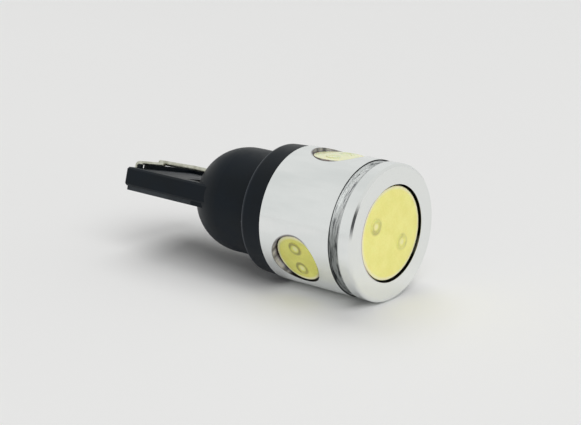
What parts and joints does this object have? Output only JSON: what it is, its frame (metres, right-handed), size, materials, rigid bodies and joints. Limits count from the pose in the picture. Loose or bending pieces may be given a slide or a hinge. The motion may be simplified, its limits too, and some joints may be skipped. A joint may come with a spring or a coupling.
{
  "type": "wedge base LED bulb",
  "caption": "Small LED bulb with a round aluminium head, round light windows in its front and sides, and a black wedge base with wire contacts.",
  "frame": {"origin": "centre of the head's flat ring face, on which the bulb stands", "axes": "+Z along the bulb's axis from the head up to the blade, X across the blade's width, Y through its thickness"},
  "size_m": [0.0124, 0.0124, 0.0293],
  "materials": {
    "aluminium": "polished, fine turning marks",
    "base_plastic": "satin black moulding",
    "phosphor": "cast yellow silicone",
    "chip": "polished",
    "led_board": "white coated",
    "circuit_board": "green lacquer",
    "component": "moulded",
    "capacitor": "ceramic body",
    "tinned_wire": "tinned",
    "red_wire": "insulated",
    "black_wire": "insulated"
  },
  "bodies": {
    "root": {"bridge_rectifier": "component", "contact_wire_1": "tinned_wire", "contact_wire_2": "tinned_wire", "core_post": "aluminium", "driver_board": "circuit_board", "driver_chip": "component", "feed_wire_minus": "black_wire", "feed_wire_plus": "red_wire", "front_chips": "chip", "front_led_board": "led_board", "front_phosphor": "phosphor", "heat_sink_sleeve": "aluminium", "input_resistor": "component", "lead_wire_1": "tinned_wire", "lead_wire_2": "tinned_wire", "link_wire_1": "red_wire", "link_wire_2": "red_wire", "link_wire_3": "red_wire", "sense_resistor": "component", "side_chips_1": "chip", "side_chips_2": "chip", "side_chips_3": "chip", "side_led_board_1": "led_board", "side_led_board_2": "led_board", "side_led_board_3": "led_board", "side_phosphor_1": "phosphor", "side_phosphor_2": "phosphor", "side_phosphor_3": "phosphor", "smoothing_capacitor": "capacitor", "wedge_base": "base_plastic"}
  },
  "joints": []
}
